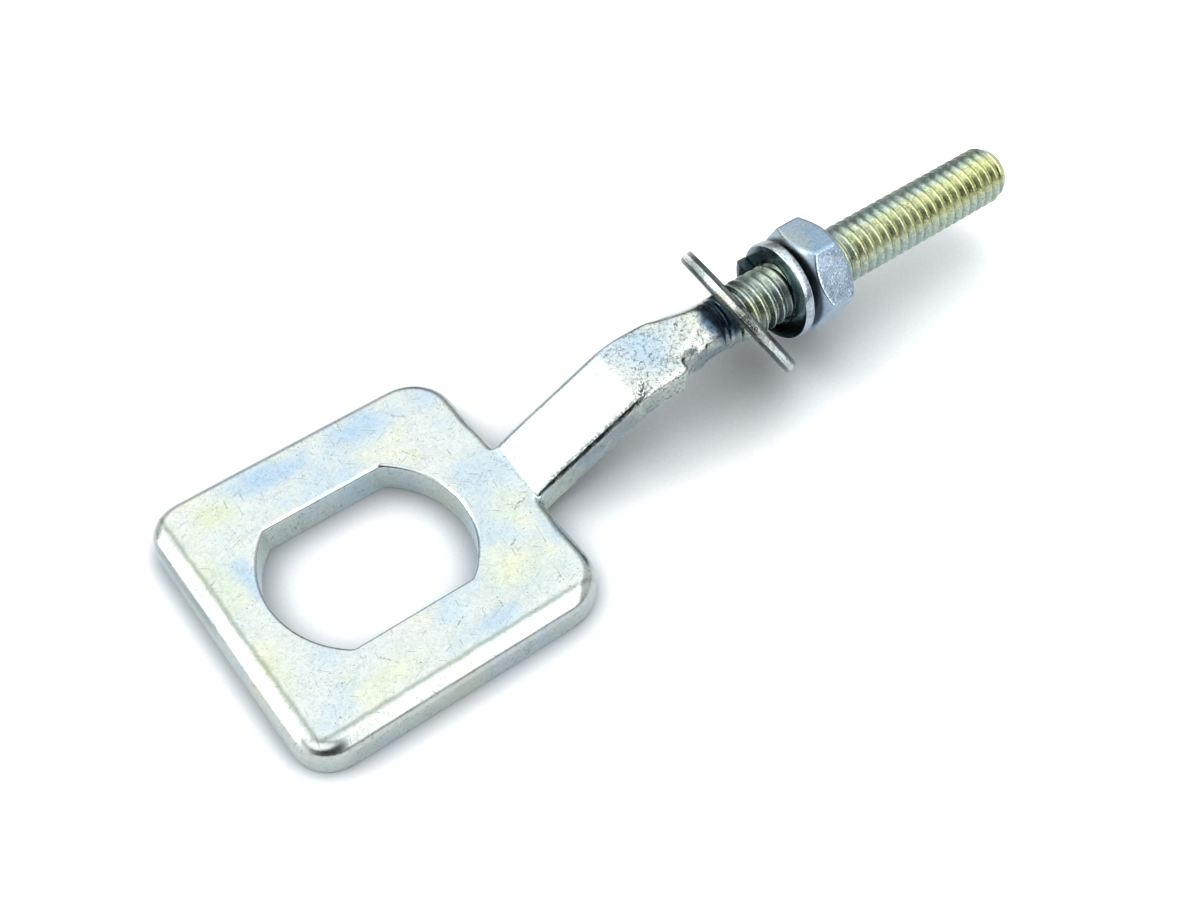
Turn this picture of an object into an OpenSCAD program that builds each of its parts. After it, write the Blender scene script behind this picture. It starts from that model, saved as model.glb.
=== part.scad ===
// Chain adjuster: a forged eye plate with a joggled arm and a threaded stud,
// carrying a loose flat washer, a spring washer and a hexagon nut.
// The origin is the middle of the eye on the plate's underside, and the stud points along +X.

/* [Eye plate] */
// Length of the plate along the stud
plate_l = 40.6; // [34:0.1:60]
// Width of the plate across the stud
plate_w = 40.8; // [34:0.1:60]
// Thickness of the plate
plate_t = 4.5; // [3.5:0.1:6]
// Distance from the middle of the eye to the middle of the plate
plate_shift = 0.8; // [0:0.1:2]
// Radius of the two corners at the free end
corner_r_end = 4.8; // [3:0.1:7]
// Radius of the two corners beside the arm
corner_r_arm = 6.0; // [3:0.1:8]
// Radius of the pressed round along the top edge
edge_r = 1.6; // [0.6:0.1:2.2]
// Diameter of the eye's round ends
eye_d = 25.6; // [20:0.1:27]
// Distance between the eye's two flats
eye_flats = 20.1; // [15:0.1:22]
// Chamfer at the eye's upper rim
eye_break = 0.3; // [0.1:0.05:0.6]

/* [Arm] */
// Width of the flat arm
arm_w = 9.8; // [9:0.1:12]
// Thickness of the flat arm
arm_t = 4.3; // [3.4:0.1:4.5]
// How far the arm sits off the stud's axis, sideways
arm_off = -0.4; // [-0.8:0.1:0]
// Distance from the plate's edge back to the corner of the first bend
bend_back = 0.2; // [0:0.1:1]
// Slope of the arm between its two bends
arm_slope = 25; // [22:1:30]
// Inner radius of the first bend
bend_r_low = 4; // [3:0.5:6]
// Inner radius of the second bend
bend_r_up = 8; // [4:0.5:10]
// Length of the level end of the arm, from the corner of the second bend
arm_end_l = 5.8; // [5:0.1:8]
// Bevel along the arm's four long edges
arm_bevel = 0.5; // [0.2:0.1:0.8]
// Radius of the fillet where the arm's near side leaves the plate
root_r_near = 1.0; // [0.6:0.1:1.8]
// Radius of the fillet where the arm's far side leaves the plate
root_r_far = 2.0; // [0.6:0.1:2.2]
// Radius of the step at the near side of the arm's end
step_r = 0.8; // [0.4:0.1:1.2]
// Length of the sloping shoulder at the far side of the arm's end
shoulder_l = 4.6; // [3:0.1:6]

/* [Stud] */
// Height of the stud's axis above the plate's underside
stud_h = 10.3; // [10:0.1:13]
// Diameter over the thread's crests
stud_d = 7.9; // [7.7:0.05:8]
// Diameter of the plain neck, which is the rolling blank
neck_d = 7.0; // [6.6:0.05:7.1]
// Length over which the flat arm runs out into the round neck
blend_l = 6.2; // [5:0.1:8]
// Width of the flat section that the run-out starts from
blend_w = 6.8; // [6.4:0.1:7]
// Bevel along the near upper edge of the run-out
blend_bevel = 1.0; // [0.4:0.1:1.6]
// Length of the round neck after that
neck_l = 3.5; // [3:0.1:8]
// Length of the threaded stretch
thread_l = 46.7; // [40:0.1:70]
// Length of the chamfer at the stud's tip
tip_l = 1.2; // [0.6:0.1:1.6]
// Diameter of the flat at the stud's tip
tip_d = 6.6; // [5.6:0.1:7]
// Length of the chamfer where the thread begins
lead_l = 0.6; // [0.4:0.1:1]

/* [Flat washer] */
// Outside diameter
washer_d = 20; // [18:0.1:20.4]
// Hole diameter
washer_hole = 10.5; // [10.5:0.1:11]
// Thickness
washer_t = 1.8; // [1.4:0.1:1.8]
// Radius of the edges
washer_edge_r = 0.35; // [0.1:0.05:0.6]
// How far the loose washer leans on the stud
washer_lean = 31; // [26:0.5:31]
// How far the leaning washer is turned about the upright
washer_yaw = -3.5; // [-5:0.5:0]
// Distance of the washer's middle from the start of the thread
washer_at = 2.2; // [2:0.1:2.4]

/* [Spring washer] */
// Outside diameter
spring_d = 13.0; // [12.4:0.1:13.4]
// Thickness of the wire
spring_t = 1.5; // [1.2:0.1:1.6]
// Radial clearance round the stud
spring_gap = 0.2; // [0.15:0.05:0.3]
// Distance between the two ends along the stud
spring_rise = 1.7; // [1:0.1:1.8]
// Angle of the split's middle, from +Y towards +Z
split_at = 8; // [0:1:30]
// Angle that the split leaves open
split_angle = 8; // [6:1:14]

/* [Nut] */
// Distance across the flats
nut_af = 12.7; // [12.4:0.1:13]
// Height of the nut
nut_h = 6.2; // [5.6:0.1:6.8]
// Distance of the nut's inner face from the start of the thread
nut_at = 10.2; // [10.2:0.1:20]
// Turn of the nut's corners from +Y towards +Z
nut_turn = -8.5; // [-30:0.5:30]
// Radial clearance between the nut's bore and the thread's crests
nut_gap = 0.05; // [0.02:0.01:0.09]
// Angle of the chamfers at both faces
nut_chamfer = 32; // [25:1:35]
// How far inside the flats each face's chamfer starts
nut_face_in = 0.7; // [0.3:0.1:1.2]
// Depth of the countersinks at both ends of the bore
nut_sink = 0.6; // [0.3:0.1:0.9]

/* [Hidden] */
$fn = 96;
zinc = [0.80, 0.83, 0.86];
zinc_blue = [0.62, 0.68, 0.76];
zinc_dark = [0.50, 0.53, 0.55];

// Overlap of solids that are joined
joint_lap = 0.02;
// How far a cutting solid reaches past the face that it cuts
cut_over = 1;
// Clearance between the spring washer and the nut
seat_gap = 0.1;
// Steps in each bend and curve, and steps round the spring washer
bend_steps = 12;
spring_steps = 60;

x_min = plate_shift - plate_l / 2;
x_max = plate_shift + plate_l / 2;
y_max = plate_w / 2;

arm_z = plate_t - arm_t / 2;
low_x = x_max - bend_back;
up_x = low_x + (stud_h - arm_z) / tan(arm_slope);
arm_end = up_x + arm_end_l;
arm_in = x_max - corner_r_arm;
near_y = arm_off - arm_w / 2;
far_y = arm_off + arm_w / 2;

// Radius of each bend at the arm's middle, and its centre seen from the side
low_r = bend_r_low + arm_t / 2;
up_r = bend_r_up + arm_t / 2;
low_c = [low_x - low_r * tan(arm_slope / 2), arm_z + low_r];
up_c = [up_x + up_r * tan(arm_slope / 2), stud_h - up_r];
slope_l = (up_x - low_x) / cos(arm_slope) - (low_r + up_r) * tan(arm_slope / 2);
neck_r = neck_d / 2;
shoulder_x = arm_end - step_r;
shoulder_end = shoulder_x + shoulder_l;

neck_x = arm_end + blend_l;
thread_x = neck_x + neck_l;
tip_x = thread_x + thread_l;

washer_x = thread_x + washer_at;
nut_x = thread_x + nut_at;
spring_hole_r = stud_d / 2 + spring_gap;

function arc(cx, cy, r, from, to) =
    [for (i = [0:bend_steps]) let (a = from + (to - from) * i / bend_steps) [cx + r * cos(a), cy + r * sin(a)]];

// The plate's edge in section: out along r, up to the top, with the pressed round
module edge_section(r) {
    square([r - edge_r, plate_t]);
    square([r, plate_t - edge_r]);
    translate([r - edge_r, plate_t - edge_r]) circle(edge_r);
}

module plate_corner(x, y, r) {
    translate([x, y, 0]) rotate_extrude() edge_section(r);
}

// One straight side between two points, with the outside on the right of the way from p to q
module plate_side(p, q, r) {
    run = q - p;
    translate([p[0], p[1], 0])
        rotate([0, 0, atan2(run[1], run[0])])
        rotate([90, 0, 90])
        mirror([1, 0, 0])
        linear_extrude(norm(run)) edge_section(r);
}

module plate() {
    re = corner_r_end;
    ra = corner_r_arm;
    end_near = [x_min + re, re - y_max];
    end_far = [x_min + re, y_max - re];
    arm_near = [x_max - ra, ra - y_max];
    arm_far = [x_max - ra, y_max - ra];
    plate_corner(end_near[0], end_near[1], re);
    plate_corner(end_far[0], end_far[1], re);
    plate_corner(arm_near[0], arm_near[1], ra);
    plate_corner(arm_far[0], arm_far[1], ra);
    side_r = min(re, ra);
    near = side_r - y_max;
    plate_side([end_near[0], near], [arm_near[0], near], side_r);
    plate_side([arm_far[0], -near], [end_far[0], -near], side_r);
    plate_side(end_far, end_near, re);
    plate_side(arm_near, arm_far, ra);
    translate([end_near[0], near, 0])
        cube([arm_near[0] - end_near[0], -2 * near, plate_t]);
}

// The eye: a round hole with two flats along the stud, chamfered at the top
module eye() {
    intersection() {
        union() {
            translate([0, 0, -cut_over]) cylinder(h = plate_t + 2 * cut_over, d = eye_d);
            translate([0, 0, plate_t - eye_break]) cylinder(h = 2 * eye_break, d1 = eye_d, d2 = eye_d + 4 * eye_break);
        }
        rotate([90, 0, 90]) linear_extrude(2 * eye_d, center = true)
            polygon([
                [-eye_flats / 2, -cut_over],
                [eye_flats / 2, -cut_over],
                [eye_flats / 2, plate_t - eye_break],
                [eye_flats / 2 + 2 * eye_break, plate_t + eye_break],
                [-eye_flats / 2 - 2 * eye_break, plate_t + eye_break],
                [-eye_flats / 2, plate_t - eye_break]
            ]);
    }
}

// Sweeps a section (across, up) along the arm: level in the plate, bent up, and level again
// on the stud's axis
module arm_sweep() {
    slope_from = low_c + low_r * [sin(arm_slope), -cos(arm_slope)];
    translate([arm_in, 0, arm_z]) rotate([90, 0, 90])
        linear_extrude(low_c[0] - arm_in) children();
    translate([low_c[0], 0, low_c[1]]) rotate([90, 0, 0]) rotate([0, 0, -90])
        rotate_extrude(angle = arm_slope) translate([low_r, 0]) mirror([1, 1, 0]) children();
    translate([slope_from[0], 0, slope_from[1]]) rotate([0, -arm_slope, 0]) rotate([90, 0, 90])
        linear_extrude(slope_l) children();
    translate([up_c[0], 0, up_c[1]]) rotate([90, 0, 0]) rotate([0, 0, 90])
        rotate_extrude(angle = arm_slope) translate([up_r, 0]) rotate(-90) children();
    translate([up_c[0], 0, stud_h]) rotate([90, 0, 90])
        linear_extrude(shoulder_end - up_c[0]) children();
}

// The flat bar in section, with bevelled edges
module arm_section() {
    half_t = arm_t / 2;
    polygon([
        [near_y, arm_bevel - half_t],
        [near_y + arm_bevel, -half_t],
        [far_y - arm_bevel, -half_t],
        [far_y, arm_bevel - half_t],
        [far_y, half_t - arm_bevel],
        [far_y - arm_bevel, half_t],
        [near_y + arm_bevel, half_t],
        [near_y, half_t - arm_bevel]
    ]);
}

// The arm from above: straight sides, a sheared step at the near side
// and a curved shoulder at the far side
module arm_plan() {
    polygon(concat(
        [[arm_in, near_y]],
        arc(arm_end - step_r, near_y + step_r, step_r, -90, 0),
        [[arm_end, -neck_r], [shoulder_end, -neck_r]],
        [for (i = [bend_steps:-1:0]) let (s = i / bend_steps)
            [shoulder_x + shoulder_l * s, neck_r + (far_y - neck_r) * (1 - sin(90 * s))]],
        [[arm_in, far_y]]
    ));
}

// A fillet at the arm's root, where the plate's pressed round turns into the arm's side.
// It reaches down to the arm's underside
module root_fillet(y, side, r) {
    from = side < 0 ? 90 : 180;
    intersection() {
        translate([x_max + r, y + side * r, 0]) rotate([0, 0, from]) rotate_extrude(angle = 90)
            translate([r, 0]) mirror([1, 0]) translate([-2 * edge_r, 0]) edge_section(2 * edge_r);
        arm_sweep() translate([-plate_w, -arm_t / 2]) square([2 * plate_w, 1.5 * arm_t]);
    }
}

module arm() {
    intersection() {
        arm_sweep() arm_section();
        linear_extrude(2 * stud_h) arm_plan();
    }
    root_fillet(near_y, -1, root_r_near);
    root_fillet(far_y, 1, root_r_far);
}

// The flat arm runs out into the round neck
module neck_blend() {
    half_w = blend_w / 2;
    top_z = arm_t / 2;
    hull() {
        translate([arm_end - joint_lap, 0, stud_h]) rotate([90, 0, 90]) linear_extrude(joint_lap)
            polygon([
                [-half_w, -top_z],
                [half_w, -top_z],
                [half_w, top_z],
                [blend_bevel - half_w, top_z],
                [-half_w, top_z - blend_bevel]
            ]);
        translate([neck_x, 0, stud_h]) rotate([0, 90, 0]) cylinder(h = joint_lap, d = neck_d, $fn = 32);
    }
}

// The round neck and the threaded stretch over its crests
module stud() {
    stud_r = stud_d / 2;
    translate([0, 0, stud_h]) rotate([0, 90, 0]) rotate_extrude()
        polygon([
            [0, neck_x],
            [neck_r, neck_x],
            [neck_r, thread_x - lead_l],
            [stud_r, thread_x],
            [stud_r, tip_x - tip_l],
            [tip_d / 2, tip_x],
            [0, tip_x]
        ]);
}

module adjuster_body() {
    color(zinc) {
        difference() {
            plate();
            eye();
        }
        arm();
        neck_blend();
        stud();
    }
}

module washer_section() {
    r = washer_edge_r;
    wall = (washer_d - washer_hole) / 2;
    translate([washer_hole / 2, 0]) {
        square([wall - r, washer_t]);
        translate([0, r]) square([wall, washer_t - 2 * r]);
        translate([wall - r, r]) circle(r);
        translate([wall - r, washer_t - r]) circle(r);
    }
}

module flat_washer() {
    color(zinc_dark)
        translate([washer_x, 0, stud_h])
        rotate([0, 90 - washer_lean, washer_yaw])
        translate([0, 0, -washer_t / 2])
        rotate_extrude() washer_section();
}

// One cut round: a helix of square wire whose ends stand apart along the stud
module spring_washer() {
    open_from = split_at + split_angle / 2;
    sweep = 360 - split_angle;
    points = [for (i = [0:spring_steps])
        let (a = open_from + sweep * i / spring_steps, x = nut_x - seat_gap - spring_rise * i / spring_steps)
        each [for (c = [[spring_hole_r, 0], [spring_d / 2, 0], [spring_d / 2, -spring_t], [spring_hole_r, -spring_t]])
            [x + c[1], c[0] * cos(a), stud_h + c[0] * sin(a)]]];
    sides = [for (i = [0:spring_steps - 1]) for (k = [0:3])
        [4 * i + k, 4 * i + (k + 1) % 4, 4 * i + 4 + (k + 1) % 4, 4 * i + 4 + k]];
    last = 4 * spring_steps;
    color(zinc_blue) polyhedron(points, concat([[3, 2, 1, 0]], sides, [[last, last + 1, last + 2, last + 3]]));
}

module hex_nut() {
    corner_r = nut_af / sqrt(3);
    face_r = nut_af / 2 - nut_face_in;
    outer_r = corner_r + cut_over;
    drop = (outer_r - face_r) * tan(nut_chamfer);
    bore_r = stud_d / 2 + nut_gap;
    color(zinc_blue) translate([nut_x, 0, stud_h]) rotate([0, 90, 0]) difference() {
        intersection() {
            rotate([0, 0, 90 + nut_turn]) cylinder(h = nut_h, r = corner_r, $fn = 6);
            rotate_extrude() polygon([
                [0, 0],
                [face_r, 0],
                [outer_r, drop],
                [outer_r, nut_h - drop],
                [face_r, nut_h],
                [0, nut_h]
            ]);
        }
        translate([0, 0, -cut_over]) cylinder(h = nut_h + 2 * cut_over, r = bore_r);
        translate([0, 0, -nut_sink]) cylinder(h = 2 * nut_sink, r1 = bore_r + 2 * nut_sink, r2 = bore_r);
        translate([0, 0, nut_h - nut_sink]) cylinder(h = 2 * nut_sink, r1 = bore_r, r2 = bore_r + 2 * nut_sink);
    }
}

adjuster_body();
flat_washer();
spring_washer();
hex_nut();
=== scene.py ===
import math

import bpy
from mathutils import Euler, Matrix, Vector, noise


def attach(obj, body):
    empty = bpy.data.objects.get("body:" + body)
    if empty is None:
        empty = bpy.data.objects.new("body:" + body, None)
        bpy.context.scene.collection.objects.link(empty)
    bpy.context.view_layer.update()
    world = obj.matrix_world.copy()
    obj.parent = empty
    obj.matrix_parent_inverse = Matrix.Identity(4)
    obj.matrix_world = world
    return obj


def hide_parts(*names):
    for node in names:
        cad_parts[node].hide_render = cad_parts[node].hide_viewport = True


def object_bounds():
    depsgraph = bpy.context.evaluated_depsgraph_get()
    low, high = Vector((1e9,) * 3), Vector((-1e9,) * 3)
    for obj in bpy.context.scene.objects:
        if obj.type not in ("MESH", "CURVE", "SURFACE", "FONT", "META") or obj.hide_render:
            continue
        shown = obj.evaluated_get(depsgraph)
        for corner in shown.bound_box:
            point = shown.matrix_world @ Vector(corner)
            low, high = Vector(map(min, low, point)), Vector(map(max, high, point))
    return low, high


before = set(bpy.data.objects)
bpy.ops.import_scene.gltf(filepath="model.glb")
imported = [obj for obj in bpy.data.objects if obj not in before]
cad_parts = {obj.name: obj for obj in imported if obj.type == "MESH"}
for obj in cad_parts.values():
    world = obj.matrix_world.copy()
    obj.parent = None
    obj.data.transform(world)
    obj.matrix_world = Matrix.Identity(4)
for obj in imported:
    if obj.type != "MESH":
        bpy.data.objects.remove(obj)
CAD_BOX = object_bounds()

# Lengths are written in millimetres and made metres by MM
MM = 0.001
# How near vertices of the solid or of a cut count as one, and those of a turned shape
CUT_THRESHOLD = 0.001 * MM
MERGE_GAP = 0.002 * MM

# Plate and arm, as the solids have them
PLATE_MIDDLE_X = 0.8
PLATE_HALF_X = 20.3
PLATE_HALF_Y = 20.4
PLATE_CORNER_R = 5.5
ARM_NEAR_Y = -5.3

# Stud and its rolled thread
STUD_H = 10.3
NECK_R = 3.5
THREAD_X = 53.45
TIP_X = CAD_BOX[1][0] / MM
CREST_R = 3.95
THREAD_PITCH = 1.411
THREAD_DEPTH = 0.52
TIP_L = 1.3
TIP_R = 3.2

# Loose washer, leaning on the stud
WASHER_X = 55.65
WASHER_R = 10.0
WASHER_HOLE_R = 5.25
WASHER_T = 1.8
WASHER_LEAN = 31.0
WASHER_YAW = -3.5
WASHER_TURN = Euler((0, math.radians(-WASHER_LEAN), math.radians(WASHER_YAW)))

# Spring washer: it rises less than the solid, so that its cut closes to a line
SPRING_R = 6.5
SPRING_HOLE_R = 4.15
SPRING_T = 1.5
SPRING_RISE = 1.46
SEAT_GAP = 0.1
# Where it is cut and how wide, in degrees round the stud
SPLIT_AT = 8.0
SPLIT_ANGLE = 0.2

# Nut
NUT_X = 63.65
NUT_H = 6.2
NUT_AF = 12.7
NUT_TURN = -8.5
NUT_BORE_R = 4.0
NUT_CHAMFER = 37.0
NUT_FACE_IN = 1.15
NUT_FAR_FACE_IN = 0.5
NUT_SINK = 0.6
# The way that its near facet faces
NUT_NEAR_FACET = (0.0, -0.783, 0.622)


# Small helpers for modelling

def only(obj):
    """Selects obj alone and makes it the active object."""
    bpy.ops.object.select_all(action="DESELECT")
    obj.select_set(True)
    bpy.context.view_layer.objects.active = obj


def edit(obj):
    """Opens obj in edit mode with all of it selected."""
    only(obj)
    bpy.ops.object.mode_set(mode="EDIT")
    bpy.ops.mesh.select_mode(type="VERT")
    bpy.ops.mesh.select_all(action="SELECT")


def done():
    """Leaves edit mode."""
    bpy.ops.object.mode_set(mode="OBJECT")


def settle(obj, name):
    """Puts obj's place into its mesh and gives it its name."""
    only(obj)
    bpy.ops.object.transform_apply(location=True, rotation=True, scale=True)
    obj.name = name
    obj.data.name = name
    return obj


def modify(obj, kind, **values):
    """Adds a modifier with these values and applies it."""
    only(obj)
    modifier = obj.modifiers.new(kind.lower(), kind)
    for key, value in values.items():
        setattr(modifier, key, value)
    bpy.ops.object.modifier_apply(modifier=modifier.name)


def cut_at(x, far_side):
    """Cuts what is selected off square to the stud, at x, and clears its far or its near side."""
    bpy.ops.mesh.bisect(
        plane_co=(x * MM, 0, 0), plane_no=(1, 0, 0), use_fill=True,
        clear_outer=far_side, clear_inner=not far_side, threshold=CUT_THRESHOLD,
    )


def close_up(obj):
    """Merges what lies together, closes holes and turns all faces outwards."""
    edit(obj)
    bpy.ops.mesh.remove_doubles(threshold=MERGE_GAP)
    bpy.ops.mesh.select_all(action="SELECT")
    bpy.ops.mesh.fill_holes(sides=0)
    bpy.ops.mesh.select_all(action="SELECT")
    bpy.ops.mesh.normals_make_consistent(inside=False)
    done()


def drawn_line(points, closed=False):
    """A line drawn vertex by vertex on the stud's axis, from points in millimetres."""
    bpy.ops.mesh.primitive_plane_add(size=MM, location=(0, 0, STUD_H * MM))
    obj = bpy.context.object
    bpy.ops.object.mode_set(mode="EDIT")
    bpy.ops.mesh.select_all(action="SELECT")
    bpy.ops.mesh.merge(type="CENTER")
    start = Vector(points[0]) * MM
    bpy.ops.transform.translate(value=start)
    last = start
    for point in points[1:]:
        place = Vector(point) * MM
        bpy.ops.mesh.extrude_vertices_move(TRANSFORM_OT_translate={"value": place - last})
        last = place
    if closed:
        bpy.ops.mesh.select_all(action="SELECT")
        bpy.ops.mesh.edge_face_add()
        bpy.ops.mesh.delete(type="ONLY_FACE")
    done()
    return obj


def turned(points, steps):
    """A round piece turned about the stud's axis from a closed outline of (x, radius)."""
    obj = drawn_line([(x, 0, r) for x, r in points], closed=True)
    modify(obj, "SCREW", axis="X", angle=math.tau, steps=steps, render_steps=steps)
    close_up(obj)
    return obj


def arc_points(cx, cy, radius, start, end, steps):
    """Points along an arc, from start to end in degrees."""
    found = []
    for i in range(steps + 1):
        angle = math.radians(start + (end - start) * i / steps)
        found.append((cx + radius * math.cos(angle), cy + radius * math.sin(angle)))
    return found


def smoothstep(edge0, edge1, value):
    """From 0 at one edge to 1 at the other, with soft ends."""
    share = min(1.0, max(0.0, (value - edge0) / (edge1 - edge0)))
    return share * share * (3 - 2 * share)


def move_vertices(obj, offset):
    """Moves each vertex by offset(place, normal), both in millimetres."""
    mesh = obj.data
    normals = [v.normal.copy() for v in mesh.vertices]
    for vertex, normal in zip(mesh.vertices, normals):
        vertex.co += offset(vertex.co / MM, normal) * MM
    mesh.update()


def across_stud(place):
    """The part across the stud of a place in a mesh that was drawn on the stud's axis."""
    return Vector((0, place.y, place.z))


# The forging: plate, arm and neck

NECK_CUT = 52.7
FORGING_VOXEL = 0.24
SMOOTH_FACTOR = 0.5

# Where the arm's edges and its two corners at the plate are softened
ARM_SOFT_START = (20.0, 22.5)
ARM_SOFT_END = (49.0, 51.0)
ARM_ROOTS = (Vector((21.4, 5.4, 3.8)), Vector((21.4, -5.9, 3.8)))
ARM_ROOT_REACH = (1.6, 2.8)

# How far the skin lies inside the solid, and the height and length of the waves over it
SKIN_IN = 0.035
SKIN_WAVES = ((0.02, 9.0), (0.012, 3.0))

# The crease at the arm's root and the nicks: start, end, width and depth
GROOVES = (
    (Vector((21.3, 4.6, 4.7)), Vector((20.7, -5.0, 4.5)), 0.45, 0.1),
    (Vector((37.6, -3.2, 12.1)), Vector((36.3, -4.6, 11.6)), 0.42, 0.3),
    (Vector((36.2, -3.7, 11.5)), Vector((36.6, -4.4, 11.6)), 0.3, 0.2),
    (Vector((26.6, -5.3, 3.1)), Vector((27.6, -5.3, 3.7)), 0.35, 0.15),
    (Vector((30.0, -5.3, 5.0)), Vector((30.8, -5.3, 5.4)), 0.35, 0.15),
    (Vector((33.4, -5.3, 6.6)), Vector((34.0, -5.3, 7.0)), 0.35, 0.15),
    (Vector((39.0, -5.3, 8.8)), Vector((39.9, -5.3, 9.0)), 0.35, 0.15),
)

# The rough near edge on top of the arm: its run, reach and depth, and its lumps' length
ROUGH_START = (21.0, 24.0)
ROUGH_END = (43.2, 43.8)
ROUGH_REACH = 0.9
ROUGH_DEPTH = 0.16
ROUGH_LUMPS = 0.7

# The pressed edge slopes in from the plate's outline. It fades beside the arm and past the plate's
# end, and is shallower towards the far side.
PRESSED_REACH = 2.4
PRESSED_DEPTH = 0.2
BESIDE_ARM_X = (13.0, 17.0)
BESIDE_ARM_Y = (7.0, 10.0)
FAR_SIDE_Y = (10.0, 17.0)
FAR_SIDE_SHARE = 0.7
PLATE_END_X = (21.0, 22.0)

# The flat struck on the neck's near shoulder, beyond the arm's step
NECK_FLAT_MIDDLE = Vector((47.8, -3.0, 12.06))
NECK_FLAT_FACING = Vector((-0.02, -0.52, 0.85)).normalized()
NECK_FLAT_START = (43.6, 47.0)
NECK_FLAT_END = (47.8, 50.8)

# The two shallow rings round the neck's end
NECK_RINGS = (51.0, 51.85)
NECK_RING_DEPTH = 0.16
NECK_RING_REACH = 0.34


def inside_outline(place):
    """How far a place lies inside the plate's rounded outline."""
    past_x = abs(place.x - PLATE_MIDDLE_X) - (PLATE_HALF_X - PLATE_CORNER_R)
    past_y = abs(place.y) - (PLATE_HALF_Y - PLATE_CORNER_R)
    past_both = math.hypot(max(past_x, 0.0), max(past_y, 0.0))
    return PLATE_CORNER_R - past_both - min(max(past_x, past_y), 0.0)


def groove(place, start, end, width, depth):
    """How deep a groove from start to end is at a place."""
    along = end - start
    share = min(1.0, max(0.0, (place - start).dot(along) / along.length_squared))
    away = (place - start - along * share).length
    return depth * (1 - smoothstep(0.0, width, away))


def rough_edge(place):
    """How far the arm's near top edge is roughened at a place."""
    on_arm = smoothstep(*ROUGH_START, place.x) * (1 - smoothstep(*ROUGH_END, place.x))
    by_edge = 1 - smoothstep(0.0, ROUGH_REACH, abs(place.y - ARM_NEAR_Y))
    lumps = 0.5 + 0.5 * noise.noise(place / ROUGH_LUMPS)
    return on_arm * by_edge * ROUGH_DEPTH * lumps


def pressed_edge(place):
    """How far the plate's top is pressed down at a place."""
    by_arm = smoothstep(*BESIDE_ARM_X, place.x) * (1 - smoothstep(*BESIDE_ARM_Y, abs(place.y)))
    share = (1 - by_arm) * (1 - FAR_SIDE_SHARE * smoothstep(*FAR_SIDE_Y, place.y))
    share *= 1 - smoothstep(*PLATE_END_X, place.x)
    return share * PRESSED_DEPTH * (1 - smoothstep(0.0, PRESSED_REACH, inside_outline(place)))


def forged_skin(place, normal):
    """The forging's own unevenness: waves, the rough and pressed edges, grooves and rings."""
    depth = SKIN_IN + sum(height * noise.noise(place / length) for height, length in SKIN_WAVES)
    depth += max(0.0, normal.z) * (rough_edge(place) + pressed_edge(place))
    for mark in GROOVES:
        depth += groove(place, *mark)
    for ring_x in NECK_RINGS:
        depth += NECK_RING_DEPTH * (1 - smoothstep(0.0, NECK_RING_REACH, abs(place.x - ring_x)))
    return -normal * depth


def neck_flat(place, normal):
    """Presses what stands past the neck's flat back onto it."""
    past = max(0.0, (place - NECK_FLAT_MIDDLE).dot(NECK_FLAT_FACING))
    share = smoothstep(*NECK_FLAT_START, place.x) * (1 - smoothstep(*NECK_FLAT_END, place.x))
    return -NECK_FLAT_FACING * past * share


def by_root(place):
    """1 at the arm's two corners at the plate, falling to nothing round them."""
    return max(1 - smoothstep(*ARM_ROOT_REACH, (place - root).length) for root in ARM_ROOTS)


def along_arm(place):
    """1 along the arm, falling to nothing at the plate and at the neck's end."""
    return smoothstep(*ARM_SOFT_START, place.x) * (1 - smoothstep(*ARM_SOFT_END, place.x))


def soften(obj, name, rounds, weight):
    """Smooths obj where weight(place) is above nothing."""
    group = obj.vertex_groups.new(name=name)
    for vertex in obj.data.vertices:
        share = weight(vertex.co / MM)
        if share > 0.01:
            group.add([vertex.index], share, "REPLACE")
    modify(obj, "SMOOTH", factor=SMOOTH_FACTOR, iterations=rounds, vertex_group=name)
    obj.vertex_groups.remove(obj.vertex_groups[name])


def forging():
    """The forging's skin over the solid, up to where the thread begins."""
    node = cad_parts["adjuster_body"]
    obj = bpy.data.objects.new("forging", node.data.copy())
    obj.matrix_world = node.matrix_world
    bpy.context.collection.objects.link(obj)
    edit(obj)
    bpy.ops.mesh.remove_doubles(threshold=CUT_THRESHOLD)
    bpy.ops.mesh.select_all(action="SELECT")
    cut_at(NECK_CUT, True)
    done()
    modify(obj, "REMESH", mode="VOXEL", voxel_size=FORGING_VOXEL * MM, use_smooth_shade=True)
    modify(obj, "SMOOTH", factor=SMOOTH_FACTOR, iterations=4)
    soften(obj, "roots", 12, by_root)
    soften(obj, "arm_edges", 8, along_arm)
    move_vertices(obj, neck_flat)
    move_vertices(obj, forged_skin)
    return settle(obj, "forging")


# The rolled thread

THREAD_STEPS = 72
THREAD_START = 52.2
# How far before and into the thread the ribs grow out of the neck
RUN_IN = 0.7
RUN_OUT = 1.6
# How far the run-out lies inside the neck
UNDER_NECK = 0.03
# Whole turns of the coil before the thread, and beyond the thread's own in all
TURNS_BEFORE = 1
TURNS_MORE = 3
# Share of the pitch and share of the thread's depth, along one rib
RIB = ((0.0, 0.0), (0.05, 0.03), (0.11, 0.14), (0.34, 0.86), (0.39, 0.97), (0.45, 1.0),
       (0.55, 1.0), (0.61, 0.97), (0.66, 0.86), (0.89, 0.14), (0.95, 0.03), (1.0, 0.0))
# Wear of the crests: its depth, closeness along and across the stud, and noise level
WEAR_DEPTH = 0.03
WEAR_ALONG = 0.8
WEAR_ACROSS = 1.3
WEAR_LEVEL = (0.25, 0.7)


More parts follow.
